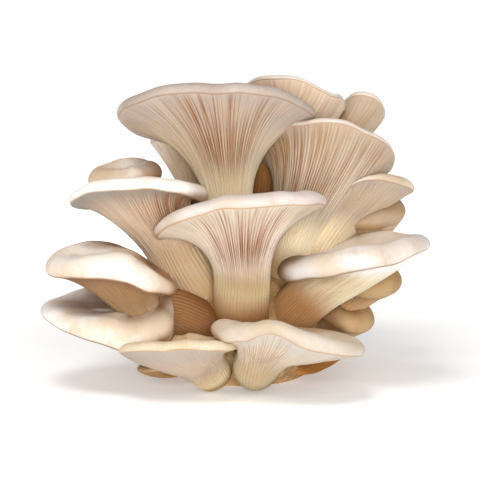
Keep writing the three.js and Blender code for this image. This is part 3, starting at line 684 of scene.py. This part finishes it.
# Painted light: the stem colour is near white, to brighten the neck that the cap shades.
mushroom(
    "right_fan", right_fan, LARGE, light="#D2C8BD", shade="#D0BEAB", stain_and_shade="#A07C5C",
    margin="#B9A692", edge="#DACFBE", furrow="#8A5A22", stem="#FFF4D4", foot="#DDB888",
)

# A small mushroom that grew in the dark under the low right one. Its flesh is soft and brown, its cap
# is creased and half open, and its thin stem lies almost flat.
under_right = Mushroom(
    hub=(30, -12, 12.6), lean=(20, 1), seed=13,
    stem=[(11, -4, 6, 5), (18, -7, 5.8, 4.8), (25, -10, 6.2, 4.6)],
    reach=[13, 13, 14, 15, 20, 15],
    lift=[0, 2, 3, 0.5, -1.5, -1],
    throat=0.4, flare=1.6, lip=(3.5, 2.8, 30), dish=-3,
)
mushroom(
    "under_right", under_right, SMALL, light="#D6BE9E", shade="#C09B6E", stain_and_shade="#8E6A42",
    margin="#9A6C30", edge="#9A6216", furrow="#7E5022", stem="#D69B54", foot="#BA8845",
)

# The narrow wing behind the fan. Its flesh is thin and a little greyer, and its cap grew out to the
# right, where it found room, from a stem that runs up beside the fan's.
right_wing = Mushroom(
    hub=(50, 16, 78), lean=(24, 2), seed=4,
    stem=[(17, 4, 26, 6.5), (28, 8, 46, 7), (37, 11, 60, 8)],
    reach=[17, 18, 19, 19.5, 16, 14, 14, 12, 11, 11, 12, 14],
    lift=[-6, -4, 0, 3, 3, 1.5, -0.5, -5, -8, -8, -7, -6],
    throat=0.5, flare=1.9, level=0.6, lip=(4, 2.4, 28), dish=8,
    fat=[0.7, 0.8, 1, 1, 1, 0.9, 0.7, 0.45, 0.35, 0.35, 0.4, 0.6],
)
mushroom(
    "right_wing", right_wing, MIDDLING, light="#DDD3C7", shade="#C9B398", stain_and_shade="#A07C5C",
    margin="#B0A498", edge="#BFB2A0", furrow="#A97A4E", stem="#F4E3C0", foot="#E4C898",
)

# The young bud behind the left shelf. Its flesh is thick for its width, and its cap is still half
# closed, domed and cream, on a thin stem that rises past the shelf's.
left_bud = Mushroom(
    hub=(-49, 16, 80), lean=(12, 6.5), seed=8,
    stem=[(-12, 5, 24, 6), (-30, 11, 48, 6), (-41, 14, 66, 6)],
    reach=[14, 14, 13.5, 13.5, 15, 14.5],
    lift=[-2, -2, -1, -1, -2, -3],
    throat=0.5, flare=2.2, level=0.6, lip=(6, 4.6, 34), dish=-4,
)
mushroom(
    "left_bud", left_bud, SMALL, light="#EEE2D6", shade="#D0B698", stain_and_shade="#A9805A",
    margin="#CBB194", edge="#D1B89A", furrow="#A0744A", stem="#DFB277", foot="#C28B4E",
)

# The smooth tan knob under the ledge. It is a young cap of thick firm flesh that still turns its edge
# down, with colours browner than those of the caps above it.
right_knob = Mushroom(
    hub=(49, 7, 37), lean=(28, 4.5), seed=16,
    stem=[(15, 3, 16, 5.5), (29, 6, 23, 5.3), (42, 7, 28, 5.2)],
    reach=[14, 14, 13.5, 15, 13, 12],
    lift=[-2, 1, 3, 1, -3, -4],
    throat=0.5, flare=2, level=0.4, lip=(6.5, 5.6, 30), dish=-5,
)
mushroom(
    "right_knob", right_knob, SMALL, light="#B3966F", shade="#A58254", stain_and_shade="#A07A4E",
    margin="#C6A67E", edge="#CDAE88", furrow="#9A6E42", stem="#DCA96B", foot="#BE8B4C",
)

# The rounded ear low on the right. It is a young domed cap of the same firm tan flesh, which grew
# pressed up against the ledge's stem.
low_ear = Mushroom(
    hub=(39, 7, 22.5), lean=(24, 3.5), seed=17,
    stem=[(14, 4, 8, 5), (24, 6, 12, 5), (32, 7, 15, 5.5)],
    reach=[14, 14, 13, 14.5, 12, 12],
    lift=[1, 1, 0, -1, 0, 1],
    throat=0.45, flare=1.7, level=0.3, lip=(6, 5, 30), dish=-4,
)
mushroom(
    "low_ear", low_ear, SMALL, light="#C6A67C", shade="#B28E60", stain_and_shade="#96714A",
    margin="#BE9B72", edge="#C6A47C", furrow="#926A40", stem="#D7A163", foot="#B98648",
)

# The trumpet behind the top one on the left, of which the front shows only a strip. It is thin pale
# flesh, and its stem rises from the back of the butt and leans away.
back_left = Mushroom(
    hub=(-20, 45, 91), lean=(14, 0), seed=18,
    stem=[(-8, 16, 26, 7), (-15, 28, 54, 7), (-19, 37, 72, 7.5)],
    reach=[20, 19, 18, 17, 19, 20],
    lift=[0],
    throat=0.5, flare=2.2, lip=(4, 2.4, 30), dish=10,
)
mushroom(
    "back_left", back_left, MIDDLING, light="#E1DAD2", shade="#D3C4B5", stain_and_shade="#A98A6C",
    margin="#E6DACA", edge="#E8D8C2", furrow="#AE7E50", stem="#F0DFC4", foot="#D8AE74",
)

# The young cap behind the ledge. It is tan and slightly domed, with a thick soft edge, on a slim stem
# that bends out to the right from under the fan.
right_behind = Mushroom(
    hub=(51, 22, 63), lean=(12, 6), seed=15,
    stem=[(17, 9, 22, 6), (31, 15, 35, 6), (43, 19, 48, 6.5)],
    reach=[15, 15, 15, 15, 16, 17],
    lift=[-1, 0, 0, -1, -1, -3],
    throat=0.5, flare=2, lip=(6, 4.4, 35), dish=-4,
)
mushroom(
    "right_behind", right_behind, SMALL, light="#B69F88", shade="#B09470", stain_and_shade="#A9855F",
    margin="#CDB392", edge="#D2BA99", furrow="#A0744A", stem="#DFB277", foot="#C28B4E",
)

# The wide crest at the back of the top. It is thin flesh that leans right, its edge curled over at
# the tip, on a stem that shows in the gap beside the trumpet. The stem's brown is painted shade for that
# gap.
back_crest = Mushroom(
    hub=(23, 44, 106), lean=(32, 11.5), seed=5,
    stem=[(5, 17, 26, 7), (8.5, 28, 66, 7.5), (12.2, 36, 86, 8.6)],
    reach=[26, 23, 20, 19.5, 21, 26, 29, 29, 27, 25, 25, 26],
    lift=[1, 0, -1, -2, -4, -7.5, -1.5, 3, 5, 5, 4, 2],
    throat=0.5, flare=1.9, lip=(3.5, 2, 25), dish=14,
)
mushroom(
    "back_crest", back_crest, MIDDLING, light="#DFD6CD", shade="#CDBBA8", stain_and_shade="#9A7858",
    margin="#E6CFB6", edge="#DDCAB2", furrow="#96601F", stem="#A8743C", foot="#8A5628",
)

# The small ear behind the crest. It is a young funnel of thin flesh on a long stem, which bends out
# from the back of the butt to clear the crest.
back_ear = Mushroom(
    hub=(51, 57, 103.5), lean=(35, 0.5), seed=6,
    stem=[(16, 22, 24, 6), (30, 45, 60, 5.8), (38, 53, 85, 6)],
    reach=[12, 10, 9.5, 14, 9.5, 10],
    lift=[0, 0, 0, 0, 1, 1],
    throat=0.5, flare=1.6, lip=(3, 2.2, 25), dish=4,
)
mushroom(
    "back_ear", back_ear, SMALL, light="#E0D8CE", shade="#D3C3B1", stain_and_shade="#A9855F",
    margin="#BCA994", edge="#C0B09A", furrow="#A97A4E", stem="#E5C58E", foot="#CFA162",
)

# A scrap of a cap at the foot of the left side. It stopped growing early, and its thin flesh dried
# brown on a stem that lies along the table.
low_scrap = Mushroom(
    hub=(-36, -12, 5.2), lean=(8, 9), seed=19,
    stem=[(-18, -6, 3.4, 2.3), (-25, -8, 3, 2.2), (-32, -10.5, 2.7, 2)],
    reach=[7.5],
    lift=[0],
    throat=0.4, flare=1.5, lip=(2, 1.4, 30), dish=-1.2,
)
mushroom(
    "low_scrap", low_scrap, SMALL, light="#CDB08A", shade="#BC9A6E", stain_and_shade="#8E6A42",
    margin="#B48F62", edge="#BE9A6C", furrow="#8A6238", stem="#CF9645", foot="#B47D3B",
)

# The large shelf in the middle of the hidden side. It is like those in front: firm pale flesh, a
# rolled edge, and a stem that leans out from the butt until its cap has room.
rear_shelf = Mushroom(
    hub=(8, 50, 64), lean=(12, 6), seed=20,
    stem=[(2, 18, 20, 9), (4, 31, 34, 9), (7, 42, 48, 9)],
    reach=[26, 28, 30, 31, 29, 25, 23, 25, 28, 30, 29, 27],
    lift=[2, 3, 3, 2, 0, -1, -2, -1, 1, 3, 3, 3],
    throat=0.5, flare=2.4, lip=(6, 4, 38), dish=10,
)
mushroom(
    "rear_shelf", rear_shelf, MIDDLING, light="#ECE6DD", shade="#DDD2C6", stain_and_shade="#B0906C",
    margin="#D5C8BC", edge="#DDD2C6", furrow="#B07F50", stem="#E7CA9D", foot="#D8AE74",
)

# The left one of its neighbours there, a middling dished cap of the same flesh. Its stem bends out
# to the side, clear of the shelf's.
rear_left = Mushroom(
    hub=(-32, 36, 56), lean=(14, 4.5), seed=21,
    stem=[(-11, 14, 18, 7), (-20, 23, 32, 7), (-28, 31, 44, 7)],
    reach=[21, 19, 18, 18, 18, 19],
    lift=[1, 0, 0, -1, 1, 2],
    throat=0.5, flare=2.2, lip=(5, 3.4, 36), dish=7,
)
mushroom(
    "rear_left", rear_left, MIDDLING, light="#E9E2D9", shade="#DACFC2", stain_and_shade="#B0906C",
    margin="#D3C5B7", edge="#DBCFC1", furrow="#AE7E50", stem="#E6C797", foot="#D3A86E",
)

# The right one, lower and flatter. It is the same flesh, on a stem that leaves the butt low down and
# runs out to the back before it turns up.
rear_right = Mushroom(
    hub=(37, 45, 41), lean=(16, 7.5), seed=22,
    stem=[(12, 16, 15, 7), (23, 30, 21, 7), (33, 41, 29, 6.6)],
    reach=[21, 19, 17, 17, 19, 21],
    lift=[1, 1, 0, -1, 0, 2],
    throat=0.5, flare=2.1, lip=(5, 3.4, 36), dish=0,
)
mushroom(
    "rear_right", rear_right, MIDDLING, light="#E9E1D8", shade="#D8CBBC", stain_and_shade="#AC8A66",
    margin="#D1C2B3", edge="#D9CBBB", furrow="#AC7C4E", stem="#E5C58E", foot="#D0A369",
)

# The low one on the left of the hidden side. The caps above took the room, so that its stem runs out
# close above the table and turns up at its end.
rear_low_left = Mushroom(
    hub=(-24, 46, 25), lean=(14, 5), seed=23,
    stem=[(-10, 16, 9, 7), (-16, 29, 11, 6.8), (-22, 40, 15, 6.6)],
    reach=[20, 18, 17, 17, 19, 21],
    lift=[0],
    throat=0.45, flare=1.9, lip=(5, 3.4, 38), dish=0,
)
mushroom(
    "rear_low_left", rear_low_left, SMALL, light="#E4DBD0", shade="#D5C4B0", stain_and_shade="#A98660",
    margin="#CEBCA8", edge="#D6C5B0", furrow="#A8784A", stem="#E3BB7B", foot="#CA9A55",
)

# The low one in the middle of the hidden side, the smallest there. It is slightly domed, and its
# stem lies almost flat, close above the table.
rear_low_right = Mushroom(
    hub=(9, 50, 18), lean=(14, 6.5), seed=24,
    stem=[(4, 20, 6.5, 6), (6, 33, 7, 5.8), (8, 44, 9.5, 5.6)],
    reach=[18, 16, 15, 15, 16, 18],
    lift=[0],
    throat=0.4, flare=1.8, lip=(4.5, 3.2, 38), dish=-1,
)
mushroom(
    "rear_low_right", rear_low_right, SMALL, light="#E2D8CB", shade="#D3C0A9", stain_and_shade="#A6825A",
    margin="#CCB79F", edge="#D3C0A9", furrow="#A4744A", stem="#DFB574", foot="#C69451",
)

# The butt, the knot of pressed tissue that every stem grows from. It is tough and cottony, tan where
# the air dried it, and cut flat underneath.
def butt_flesh(pale, tan, dark):
    """Dried mycelium, a felt of fine threads. To the eye it is dull, cottony, pitted and patchy."""
    material = bpy.data.materials.new("butt_mycelium")
    material.use_nodes = True
    tree = material.node_tree
    place = node(tree, "ShaderNodeTexCoord", {}, "Object")
    patches_mm, pits_mm, felt_mm = 8, 2.2, 3
    colour = linear(pale)
    for size_mm, low, high, share, tint in (
        (patches_mm, 0.35, 0.65, 1, tan),
        (pits_mm, 0.55, 0.8, 0.6, dark),
    ):
        pattern = {"Vector": place, "Scale": 1 / (size_mm * MM), "Detail": 5, "Roughness": 0.6}
        pattern = node(tree, "ShaderNodeTexNoise", pattern)
        spread = {"Value": pattern, "From Min": low, "From Max": high, "To Max": share}
        spread = node(tree, "ShaderNodeMapRange", spread, interpolation_type=SOFT)
        colour = node(tree, "ShaderNodeMix", {0: spread, 6: colour, 7: linear(tint)}, 2, data_type="RGBA")
    felt = {"Vector": place, "Scale": 1 / (felt_mm * MM), "Detail": 6, "Roughness": 0.6}
    felt = node(tree, "ShaderNodeTexNoise", felt)
    rough = node(tree, "ShaderNodeMapRange", {"Value": felt, "To Min": 0.7, "To Max": 0.9})
    bump = {"Height": felt, "Strength": 0.8, "Distance": 1.5 * MM}
    moist(tree, colour, rough, node(tree, "ShaderNodeBump", bump))
    return material


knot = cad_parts["base_knot"]
knot.material_slots[0].material = butt_flesh("#C9A878", "#A57E50", "#6E4A2A")

# The white sweep that the cluster stands on. It is board painted a flat matt white, and its own faint
# glow stands in for the light that a white room throws on it. The glow is weaker near the cluster,
# so that the cluster's soft shadow shows.
sweep_mesh = bpy.data.meshes.new("sweep")
SWEEP_HALF = 6.0
corners = [(-SWEEP_HALF, -SWEEP_HALF, 0), (SWEEP_HALF, -SWEEP_HALF, 0), (SWEEP_HALF, SWEEP_HALF, 0)]
corners.append((-SWEEP_HALF, SWEEP_HALF, 0))
sweep_mesh.from_pydata(corners, [], [(0, 1, 2, 3)])
sweep = bpy.data.objects.new("sweep", sweep_mesh)
bpy.context.scene.collection.objects.link(sweep)
white = bpy.data.materials.new("white_board")
white.use_nodes = True
board = white.node_tree
shader = board.nodes["Principled BSDF"]
shader.inputs["Base Color"].default_value = linear("#F7F7F7")
shader.inputs["Roughness"].default_value = 0.9
shader.inputs["Emission Color"].default_value = (1, 1, 1, 1)
place = node(board, "ShaderNodeTexCoord", {}, "Object")
away = node(board, "ShaderNodeVectorMath", {0: place}, "Value", operation="LENGTH")
fall = {"Value": away, "From Min": 100 * MM, "From Max": 400 * MM, "To Min": 0.26, "To Max": 0.66}
fall = node(board, "ShaderNodeMapRange", fall, interpolation_type=SOFT)
board.links.new(fall, shader.inputs["Emission Strength"])
sweep_mesh.materials.append(white)

# The soft light of a white studio: bright all round, with a wide lamp high at the front left that
# gives the caps their shape, and one low in front that reaches under them.
world = bpy.data.worlds.new("studio")
bpy.context.scene.world = world
world.use_nodes = True
world.node_tree.nodes["Background"].inputs["Color"].default_value = (1, 1, 1, 1)
world.node_tree.nodes["Background"].inputs["Strength"].default_value = 0.42


LIT_PLACE = Vector((0, 0, 50)) * MM


def lamp(name, place, size, power):
    """A square soft lamp that faces the cluster, its size in metres and its power in watts."""
    light = bpy.data.lights.new(name, "AREA")
    light.energy = power
    light.size = size
    made = bpy.data.objects.new(name, light)
    made.location = place
    aim = LIT_PLACE - made.location
    made.rotation_euler = aim.to_track_quat("-Z", "Y").to_euler()
    bpy.context.scene.collection.objects.link(made)


lamp("key", Vector((-0.25, -0.45, 1.15)), 0.45, 5.6)
lamp("front", Vector((0.1, -1.3, 0.26)), 0.5, 12.2)
